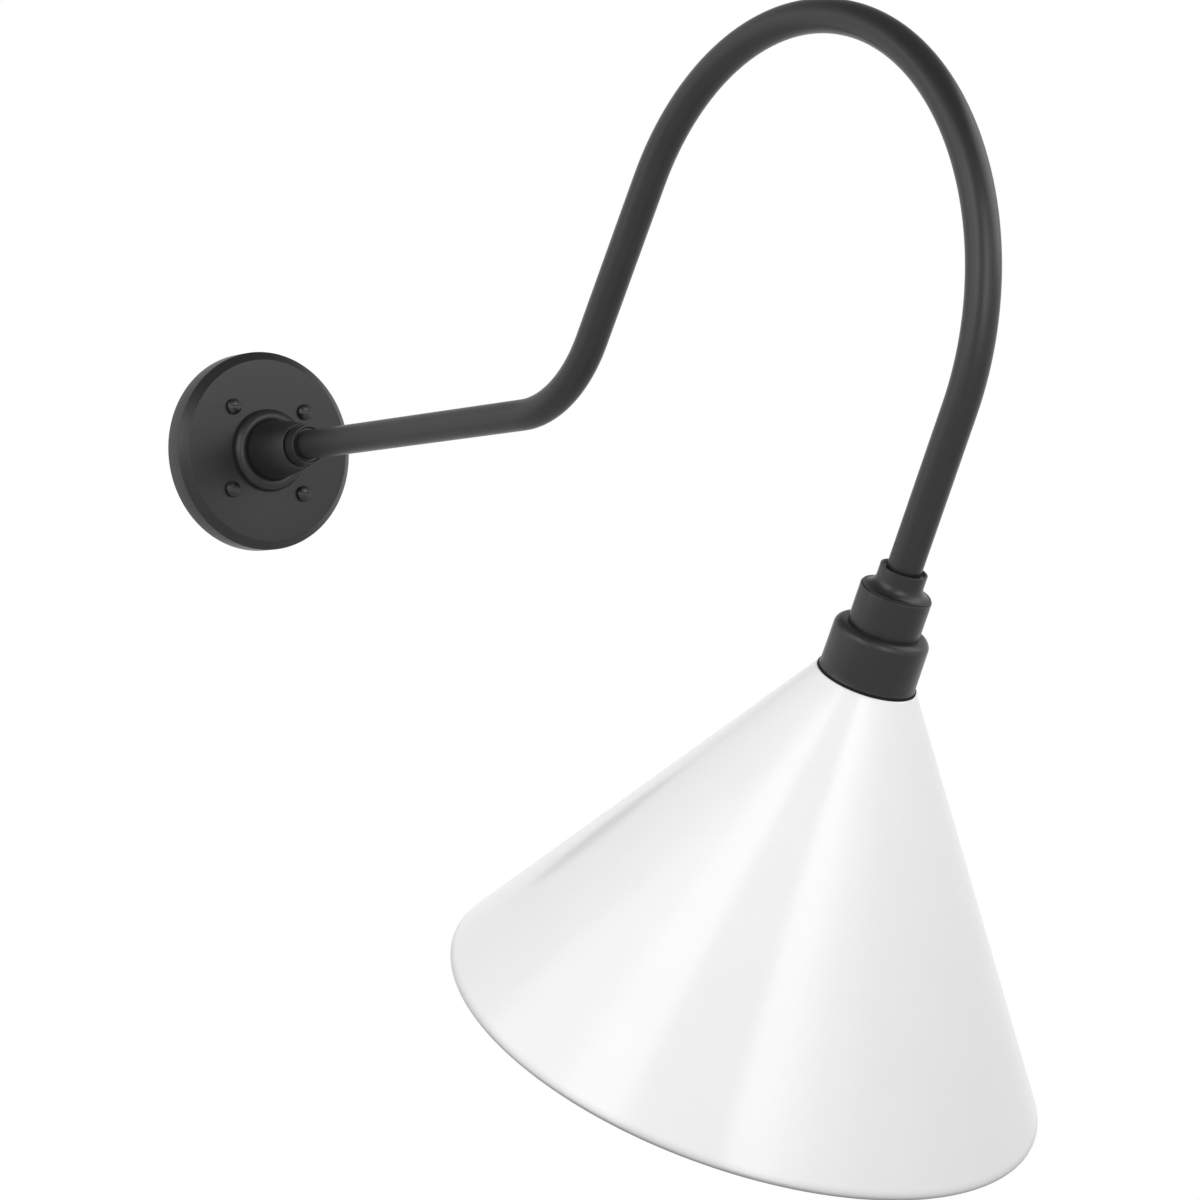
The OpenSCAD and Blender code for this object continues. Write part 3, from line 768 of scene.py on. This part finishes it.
def makeCollar(size, start, end):
    outline = rounded([(size["bore"], start), (size["radius"], start)] + collarEnd(size, end))
    dress(turned("armCollar", blackCoat, outline, fromWall, sides=128), "black_coat", "arm_collar")


makeHub(hub, plate["face"])
makeLocknut(locknut)
hubNose = plate["face"] + hub["length"]
makeCollar(collar, hubNose - hub["recess"], hubNose + collar["length"])
print("hub made")

# The pipe's path: reach from the wall and height
arm = {
    "radius": 10.75,
    "bore": 8.65,
    "start": 28.0,
    "levelRun": 355.0,
    "riseBend": 92.0,
    "riseAngle": 57.7,
    "riseRun": 117.5,
    "crownBend": 173.5,
    "lean": 28.0,
    "dropRun": 174.2,
    "endHeight": 51.1,
    "sides": 72,
}


def armPath(size):
    # Points with their headings in degrees, and the seat at the end of the drop
    spot, heading = Vector((size["levelRun"], 0)), 0.0
    level = size["levelRun"] - size["start"]
    path = [(Vector((size["start"] + part * level, 0)), 0.0) for part in (0, 0.25, 0.5, 0.75)]
    for radius, angle, run in (
        (size["riseBend"], size["riseAngle"], size["riseRun"]),
        (size["crownBend"], -(size["riseAngle"] + 90 + size["lean"]), size["dropRun"]),
    ):
        side = 1 if angle > 0 else -1
        begin = math.radians(heading)
        centre = spot + radius * side * Vector((-math.sin(begin), math.cos(begin)))
        steps = max(12, int(abs(angle) / 2))
        for step in range(steps + 1):
            degrees = heading + angle * step / steps
            turn = math.radians(degrees)
            path.append((centre - radius * side * Vector((-math.sin(turn), math.cos(turn))), degrees))
        spot, heading = path[-1][0].copy(), heading + angle
        forward = Vector((math.cos(math.radians(heading)), math.sin(math.radians(heading))))
        spot += forward * run
        if run == size["riseRun"]:
            path += [(spot - forward * run * (1 - part), heading) for part in (0.33, 0.67)]
    path.append((spot - forward * size["endHeight"], heading))
    return path, spot


def makeArm(size):
    sides = size["sides"]
    form = bmesh.new()
    skins = []
    for radius in (size["radius"], size["bore"]):
        rings = []
        for spot, heading in armPath(size)[0]:
            turn = math.radians(heading)
            normal = Vector((0, math.sin(turn), math.cos(turn)))
            centre = Vector((0, -spot.x, spot.y))
            ring = []
            for side in range(sides):
                angle = 2 * math.pi * side / sides
                away = Vector((1, 0, 0)) * math.cos(angle) + normal * math.sin(angle)
                ring.append(form.verts.new((centre + radius * away) * mm))
            rings.append(ring)
        for ring, following in zip(rings, rings[1:]):
            for side in range(sides):
                other = (side + 1) % sides
                form.faces.new((ring[side], ring[other], following[other], following[side]))
        skins.append(rings)
    for end in (0, -1):
        outer, inner = (rings[end] for rings in skins)
        for side in range(sides):
            other = (side + 1) % sides
            form.faces.new((outer[side], outer[other], inner[other], inner[side]))
    dress(newPiece("armPipe", form, blackCoat), "black_coat", "arm_tube")


makeArm(arm)
seat = armPath(arm)[1]
lean = Matrix.Rotation(math.radians(arm["lean"]), 4, "X")
atSeat = Matrix.Translation((0, -seat.x * mm, seat.y * mm)) @ lean
print("pipe made, the seat is at", [round(part, 3) for part in seat])

# Neck, socket housing and cup, as heights above the cup's lower edge
neck = {
    "top": 71.1,
    "spigot": 47.7,
    "spigotRadius": 20.45,
    "flange": 56.2,
    "flangeTop": 57.15,
    "flangeRadius": 21.3,
    "edge": 0.35,
    "cove": 6.6,
    "bore": 8.65,
    "setScrewHeight": 66.6,
    "groundScrewReach": 14.0,
    "groundScrewHole": 2.0,
    "groundScrewDepth": 5.0,
}
housing = {
    "radius": 22.15,
    "bore": 20.55,
    "ledge": 19.15,
    "top": 56.2,
    "edge": 0.65,
    "setScrewHeight": 51.95,
}
cup = {
    "radius": 29.6,
    "draft": 0.2,
    "height": 32.3,
    "shoulder": 5.5,
    "bore": 26.8,
    "web": 27.3,
    "hole": 20.65,
    "lip": 0.6,
    "lipHeight": 3.4,
    "screwHoleDepth": 3.9,
}
gasket = {
    "radius": 31.0,
    "thickness": 1.2,
    "pressed": 30.1,  # outside this radius it droops over the shade's corner
    "droop": 1.38,
}
holderScrew = {
    "reaches": (-23.3, 23.3),
    "head": 3.2,
    "height": 2.6,
    "side": 0.5,
    "slotWidth": 0.9,
    "slotDepth": 1.3,
    "shank": 1.9,
    "hole": 2.0,
    "length": 9.8,
    "chamfer": 0.4,
    "brokenEdge": 0.08,
}


def besideAxis(reach, height=0.0):
    return atSeat @ Matrix.Translation((reach * mm, 0, height * mm))


def holderScrewHoles(start, stop):
    return [(besideAxis(reach), holderScrew["hole"], start, stop) for reach in holderScrew["reaches"]]


def towardsWall(height):
    # A place whose height axis points to the wall from the fitter's axis
    return atSeat @ Matrix.Translation((0, 0, height * mm)) @ Matrix.Rotation(-math.pi / 2, 4, "X")


def makeNeck(size, ringSize):
    outline = rounded([
        (size["bore"], size["spigot"]),
        (size["spigotRadius"], size["spigot"], 0.3),
        (size["spigotRadius"], size["flange"], 0.2),
        (size["flangeRadius"], size["flange"], 0.2),
        (size["flangeRadius"], size["flange"] + 0.3),
    ])[:-1]
    rimCentre = (size["flangeRadius"] - size["edge"], size["flangeTop"] - size["edge"])
    outline += arcPoints(rimCentre, size["edge"], 0, 84, steps=8)
    coveTop = size["flangeTop"] + size["cove"]
    outline += arcPoints((ringSize["radius"] + size["cove"], coveTop), size["cove"], 270, 180, steps=14)
    outline += rounded([(ringSize["radius"], coveTop + 1)] + collarEnd(ringSize, size["top"]))
    outline += [(ringSize["bore"], arm["endHeight"]), (size["bore"], arm["endHeight"])]
    piece = turned("armNeck", blackCoat, outline, atSeat, sides=144)
    ground = atSeat @ Matrix.Translation((0, size["groundScrewReach"] * mm, 0))
    hole, outside = hub["setScrewHole"], housing["radius"] + 2
    drill(
        piece,
        (towardsWall(size["setScrewHeight"]), hole, ringSize["bore"] - 1, outside),
        (towardsWall(housing["setScrewHeight"]), hole, size["spigotRadius"] - 3, outside),
        (ground, size["groundScrewHole"], size["spigot"] - 1, size["spigot"] + size["groundScrewDepth"]),
    )
    dress(piece, "black_coat", "arm_neck")


def makeHousing(size, base):
    outline = rounded([
        (size["ledge"], base["web"]),
        (size["bore"], base["web"]),
        (size["bore"], base["height"]),
        (size["radius"], base["height"]),
        (size["radius"], size["top"], size["edge"]),
        (size["bore"], size["top"], 0.2),
        (size["bore"], neck["spigot"]),
        (size["ledge"], neck["spigot"]),
    ])
    piece = turned("socketHousing", blackCoat, outline, atSeat)
    place = towardsWall(size["setScrewHeight"])
    drill(piece, (place, hub["setScrewHole"], size["bore"] - 2, size["radius"] + 2))
    dress(piece, "black_coat", "socket_housing")


def makeCup(size):
    bottom = size["radius"] + size["draft"]
    outline = rounded([
        (size["hole"], size["height"]),
        (size["hole"], size["web"]),
        (size["bore"], size["web"], 0.8),
        (size["bore"], 0.0, 0.3),
        (bottom + size["lip"], 0.0, 0.25),
        (bottom + size["lip"] * 0.35, size["lipHeight"] * 0.4, 2.0),
        (bottom, size["lipHeight"], 2.0),
        (bottom - size["draft"] * 0.7, size["height"] * 0.5),
    ])
    shoulderCentre = (size["radius"] - size["shoulder"], size["height"] - size["shoulder"])
    outline += arcPoints(shoulderCentre, size["shoulder"], 0, 90, steps=14)
    piece = turned("shadeCup", blackCoat, outline, atSeat, sides=192)
    drill(piece, *holderScrewHoles(size["web"] - 1, size["web"] + size["screwHoleDepth"]))
    dress(piece, "black_coat", "shade_cup")


def makeShadeGasket(size, bore):
    outline = rounded([
        (bore, 0.0),
        (size["radius"], 0.0, 0.1),
        (size["radius"], -size["droop"], 0.1),
        (size["pressed"], -size["thickness"]),
        (bore, -size["thickness"]),
    ])
    dress(turned("shadeGasket", softBlack, outline, atSeat), "soft_black", "shade_gasket")


makeNeck(neck, collar)
makeHousing(housing, cup)
makeCup(cup)
makeShadeGasket(gasket, cup["bore"])
print("fitter made")

# Spun cone shade with a turned bead
shade = {
    "neck": 32.5,
    "hole": 27.0,
    "top": -1.2,
    "height": 244.97,
    "radius": 189.97,
    "sheet": 1.5,
    "corner": 2.4,
    "bead": 2.1,
}


def shadeOutline(size):
    cornerCentre = (size["neck"] - size["corner"], size["top"] - size["corner"])
    beadCentre = (size["radius"] - size["bead"], size["top"] - size["height"] + size["bead"])
    way = Vector(beadCentre) - Vector(cornerCentre)
    face = math.degrees(math.atan2(way.y, way.x) + math.acos((size["corner"] - size["bead"]) / way.length))
    curl = math.degrees(math.acos((size["bead"] - size["sheet"]) / size["bead"]))
    outline = [(size["hole"], size["top"] - size["sheet"]), (size["hole"], size["top"])]
    outline += arcPoints(cornerCentre, size["corner"], 90, face, steps=12)
    outline += arcPoints(beadCentre, size["bead"], face, face + curl - 360, steps=40)
    outline += arcPoints(cornerCentre, size["corner"] - size["sheet"], face, 90, steps=8)
    return outline


coneOutline = divided(shadeOutline(shade), 2 * plainStep)
coneShade = turned("coneShade", whiteEnamel, coneOutline, atSeat, sides=256)
dress(coneShade, "white_enamel", "shade")
print("shade made")

# Ring under the shade, and the lampholder with its threaded shell
shadeRing = {
    "eye": 18.3,
    "flange": 30.0,
    "low": -5.2,
    "seat": -2.7,
    "spigot": 26.7,
    "spigotBore": 24.3,
    "top": 8.0,
    "edge": 0.6,
}
lampholder = {
    "radius": 17.8,
    "bottom": -14.0,
    "edge": 1.6,
    "hollow": 14.3,
    "hollowTop": 14.0,
    "shoulder": 26.3,
    "shoulderFoot": 21.3,
    "shoulderTop": 27.3,
    "crown": 18.85,
    "top": 41.0,
    "leadHole": 1.4,
    "leadHoleDepth": 8.0,
    "leadReaches": (-5.4, 5.4),
}
screwShell = {
    "outside": 14.2,
    "sheet": 0.45,
    "bottom": -12.0,
    "top": 12.8,
    "eye": 10.2,
    "thread": {"above": 13.0, "from": -11.2, "to": 11.2, "fade": 1.6, "pitch": 3.63, "depth": 0.63},
}


def makeShadeRing(size):
    outline = rounded([
        (size["eye"], size["low"], size["edge"]),
        (size["flange"], size["low"], size["edge"]),
        (size["flange"], size["seat"], 0.3),
        (size["spigot"], size["seat"], 0.2),
        (size["spigot"], size["top"], size["edge"]),
        (size["spigotBore"], size["top"], size["edge"]),
        (size["spigotBore"], size["seat"], 0.8),
        (size["eye"], size["seat"], size["edge"]),
    ])
    dress(turned("shadeRing", zinc, outline, atSeat, sides=144), "zinc", "shade_ring")


def makeLampholder(size):
    outline = rounded([
        (0.0, size["hollowTop"]),
        (size["hollow"], size["hollowTop"]),
        (size["hollow"], size["bottom"], 0.6),
        (size["radius"], size["bottom"], size["edge"]),
        (size["radius"], size["shoulderFoot"], 1.2),
        (size["shoulder"], size["shoulderFoot"], 1.0),
        (size["shoulder"], size["shoulderTop"], 0.4),
        (size["crown"], size["shoulderTop"], 0.4),
        (size["crown"], size["top"], 2.0),
        (0.0, size["top"]),
    ])
    piece = turned("lampholder", porcelain, divided(outline, plainStep), atSeat, sides=144)
    leadHole = size["leadHole"], size["top"] - size["leadHoleDepth"], size["top"] + 1
    drill(
        piece,
        *[(besideAxis(reach), *leadHole) for reach in size["leadReaches"]],
        *holderScrewHoles(size["shoulderFoot"] - 1, size["shoulderTop"] + 1),
    )
    dress(piece, "porcelain", "lampholder")


def makeScrewShell(size):
    bore = size["outside"] - size["sheet"]
    outline = rounded([
        (size["outside"], size["bottom"], 0.2),
        (size["outside"], size["top"], 0.9),
        (size["eye"], size["top"], 0.2),
        (size["eye"], size["top"] - size["sheet"], 0.2),
        (bore, size["top"] - size["sheet"], 0.5),
        (bore, size["bottom"], 0.2),
    ])
    piece = turned("screwShell", brass, divided(outline, threadStep), atSeat, sides=96, thread=size["thread"])
    dress(piece, "brass", "screw_shell")


def makeHolderScrews(size, height):
    shank = [(0.0, -size["length"]), (size["shank"] - size["chamfer"], -size["length"])]
    shank += [(size["shank"], size["chamfer"] - size["length"]), (size["shank"], 0.0)]
    for number, reach in enumerate(size["reaches"]):
        place = besideAxis(reach, height) @ Matrix.Rotation(math.pi, 4, "X")
        part = turned(f"holderScrew{number + 1}", zinc, shank + headOutline(size)[1:], place, sides=64)
        cutSlot(part, size, place)
        dress(part, "zinc")
    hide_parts("holder_screws")


makeShadeRing(shadeRing)
makeLampholder(lampholder)
makeScrewShell(screwShell)
makeHolderScrews(holderScrew, lampholder["shoulderFoot"])
print("lampholder made")

# The lamp: opal glass globe and rolled cap
lamp = {
    "globe": 30.0,
    "globeHeight": -66.65,
    "shoulderAngle": 36,
    "shoulderCurve": 60.0,
    "neck": 12.5,
    "neckHeight": -20.65,
    "innerNeck": 11.4,  # inside the cap
    "glass": 0.8,
    "glassTop": -6.7,
    "cap": 13.05,
    "sheet": 0.45,
    "capBottom": -16.65,
    "capTop": 7.35,
    "capShoulder": 2.0,
    "capTaper": 1.8,
    "eye": 5.5,
    "thread": {"above": 12.0, "from": -13.4, "to": 5.2, "fade": 1.6, "pitch": 3.63, "depth": 0.8},
}


def glassSkin(size, inset):
    # Half of the glass's outline, from the pole of the globe up to the end inside the cap
    centre = (0.0, size["globeHeight"])
    globe = arcPoints(centre, size["globe"] - inset, -90, size["shoulderAngle"], steps=40)
    globe[0] = (0.0, globe[0][1])
    foot = (size["neck"] - inset, size["neckHeight"])
    rise = bowPoints(foot, globe[-1], size["shoulderCurve"], steps=16)[::-1]
    skin = globe + rise[1:-1]
    neck = rounded([
        rise[-3],
        (*foot, 6.0),
        (size["neck"] - inset, size["capBottom"] + 0.6, 0.4),
        (size["innerNeck"] - inset, size["capBottom"] + 1.4, 0.4),
        (size["innerNeck"] - inset, size["glassTop"]),
        (0.0, size["glassTop"]),
    ])
    return skin[:-1] + neck[1:-1]


def makeLamp(size):
    outline = glassSkin(size, 0.0) + glassSkin(size, size["glass"])[::-1]
    piece = turned("lampGlass", lampWhite, outline, atSeat, sides=144)
    dress(piece, "lamp_white", "lamp_glass", body="lamp")
    cap, top, sheet, taper = size["cap"], size["capTop"], size["sheet"], size["capTaper"]
    shoulder = top - size["capShoulder"]
    outline = rounded([
        (cap, size["capBottom"], 0.2),
        (cap, shoulder, 1.5),
        (cap - taper, top, 0.8),
        (size["eye"], top, 0.1),
        (size["eye"], top - sheet, 0.1),
        (cap - sheet - taper, top - sheet, 0.6),
        (cap - sheet, shoulder - sheet, 1.2),
        (cap - sheet, size["capBottom"], 0.2),
    ])
    outline = divided(outline, threadStep)
    piece = turned("lampCap", lampMetal, outline, atSeat, sides=96, thread=size["thread"])
    dress(piece, "lamp_metal", "lamp_cap", body="lamp")


makeLamp(lamp)
print("lamp made")

# CAD nodes that keep their shape and take a finish
carriedOver = {
    "hub_set_screw": blackScrew,
    "neck_set_screw": blackScrew,
    "housing_set_screw": blackScrew,
    "centre_contact": brass,
    "live_lead": leadBlack,
    "neutral_lead": leadWhite,
    "ground_lead": leadGreen,
    "ground_terminal": brass,
    "ground_screw": groundGreen,
    "lead_ends": copper,
    "lamp_insulator": lampBlack,
    "lamp_contact": solder,
}
for name, material in carriedOver.items():
    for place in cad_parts[name].material_slots:
        place.material = material
print("carried-over nodes finished")

# Studio: white all round and dimmer overhead, three soft boxes, and a pale floor that holds the shadow
studio = {
    "aim": (0.0, -0.65, -0.3),
    "fill": 0.69,  # the world's light on the object, where 1 is the white that the camera sees
    "sideways": 0.06,  # how much of it moves from the right to the left
    "glow": 0.36,  # what comes on top of it from above and behind the left
    "glowFrom": (-0.3, 0.7, 0.65),
    "glowEdge": (0.45, 0.95),  # from nothing to full, as cosines from that direction
    "overhead": 0.25,  # the light from overhead, as a share of the light from the sides
    "overheadEdge": (0.3, 0.8),  # where it falls off, as cosines from straight up
    "floorHeight": -1.0,
    "floorRadius": 3.4,
    "floorFade": (0.55, 0.98),  # where the floor gives way to white, as shares of its radius
    "floorColour": (0.66, 0.66, 0.656),
    "floorGlow": (0.3, 0.3, 0.298),  # added to the floor as the camera and reflections see it
}
# Each box is one or more panels that overlap on one frame and add up: (left edge, right edge, radiance),
# with the edges in degrees of azimuth
softBoxes = {
    "leftSoftBox": {
        "elevation": 24.0, "distance": 1.9, "height": 1.3,
        "panels": ((-126.0, -63.0, 1.1), (-86.0, -63.0, 1.25)),
    },
    "frontSoftBox": {
        "elevation": 15.0, "distance": 1.9, "height": 1.2,
        "panels": ((-30.0, 12.0, 0.7), (-30.0, -4.0, 1.0), (-30.0, -14.0, 1.1)),
    },
    "rightSoftBox": {
        "elevation": 46.0, "distance": 0.95, "height": 0.65,
        "panels": ((20.0, 75.0, 1.7),),
    },
}


def addPanel(name, box, left, right, radiance):
    azimuth, elevation = math.radians((left + right) / 2), math.radians(box["elevation"])
    away = direction(azimuth, elevation)
    light = bpy.data.lights.new(name, "AREA")
    light.shape = "RECTANGLE"
    light.size = 2 * box["distance"] * math.cos(elevation) * math.tan(math.radians(right - left) / 2)
    light.size_y = box["height"]
    light.energy = radiance * math.pi * light.size * light.size_y
    holder = bpy.data.objects.new(name, light)
    holder.location = Vector(studio["aim"]) + away * box["distance"]
    holder.rotation_euler = away.to_track_quat("Z", "Y").to_euler()
    bpy.context.scene.collection.objects.link(holder)


def lookingRays(recipe):
    # Whether the camera looks straight on, and whether it looks on at all, also in a gloss or through glass
    kinds = ("Camera", "Glossy", "Transmission")
    camera, gloss, glass = (recipe.node("ShaderNodeLightPath", output=f"Is {kind} Ray") for kind in kinds)
    return camera, camera.maths("MAXIMUM", camera, gloss.maths("MAXIMUM", gloss, glass))


def lightStudio(room):
    world = bpy.data.worlds.new("studioWhite")
    world.use_nodes = True
    bpy.context.scene.world = world
    recipe = Recipe(world.node_tree)
    camera, seen = lookingRays(recipe)
    way = recipe.node("ShaderNodeTexCoord")
    across, height = (recipe.node("ShaderNodeSeparateXYZ", {}, {0: way}, part) for part in "XZ")
    lit = camera + (1 - camera) * recipe.spread(height, 1.0, room["overhead"], *room["overheadEdge"])
    soft = room["fill"] - room["sideways"] * across
    glow = room["glow"] * recipe.spread(recipe.along(way, room["glowFrom"]), 0.0, 1.0, *room["glowEdge"])
    background = recipe.node("ShaderNodeBackground", {}, {
        "Color": rgb(1, 1, 1), "Strength": (soft + (1 - soft) * seen) * lit + glow * (1 - seen),
    })
    recipe.node("ShaderNodeOutputWorld", {}, {"Surface": background})


def layFloor(room):
    form = bmesh.new()
    bmesh.ops.create_circle(form, cap_ends=True, segments=96, radius=room["floorRadius"])
    mesh = bpy.data.meshes.new("paleFloor")
    form.to_mesh(mesh)
    form.free()
    material, recipe = newMaterial("paleFloorPaper")
    place = recipe.node("ShaderNodeTexCoord", output="Object")
    reach = recipe.node("ShaderNodeVectorMath", {"operation": "LENGTH"}, {0: place}, "Value")
    edge = recipe.spread(reach, 0.0, 1.0, *[room["floorRadius"] * share for share in room["floorFade"]])
    seen = lookingRays(recipe)[1]
    under = recipe.node("ShaderNodeNewGeometry", output="Backfacing")
    paper = recipe.node("ShaderNodeBsdfPrincipled", {}, {
        "Base Color": rgb(*room["floorColour"]),
        "Roughness": 1.0,
        "Specular IOR Level": 0.0,
        "Emission Color": recipe.colours(seen, rgb(0, 0, 0), rgb(*room["floorGlow"])),
        "Emission Strength": 1.0,
    })
    clear = recipe.node("ShaderNodeBsdfTransparent")
    hidden = edge.maths("MAXIMUM", edge, under)  # the floor doesn't show at its edge or from below
    mixed = recipe.node("ShaderNodeMixShader", {}, {0: hidden, 1: paper, 2: clear})
    recipe.node("ShaderNodeOutputMaterial", {}, {"Surface": mixed})
    mesh.materials.append(material)
    floor = bpy.data.objects.new("paleFloor", mesh)
    floor.location = (0, room["aim"][1] / 2, room["floorHeight"])
    bpy.context.scene.collection.objects.link(floor)


for name, box in softBoxes.items():
    for number, panel in enumerate(box["panels"]):
        addPanel(f"{name}{number + 1}", box, *panel)
lightStudio(studio)
layFloor(studio)
bpy.context.scene.view_settings.view_transform = "Standard"
print("studio lit")
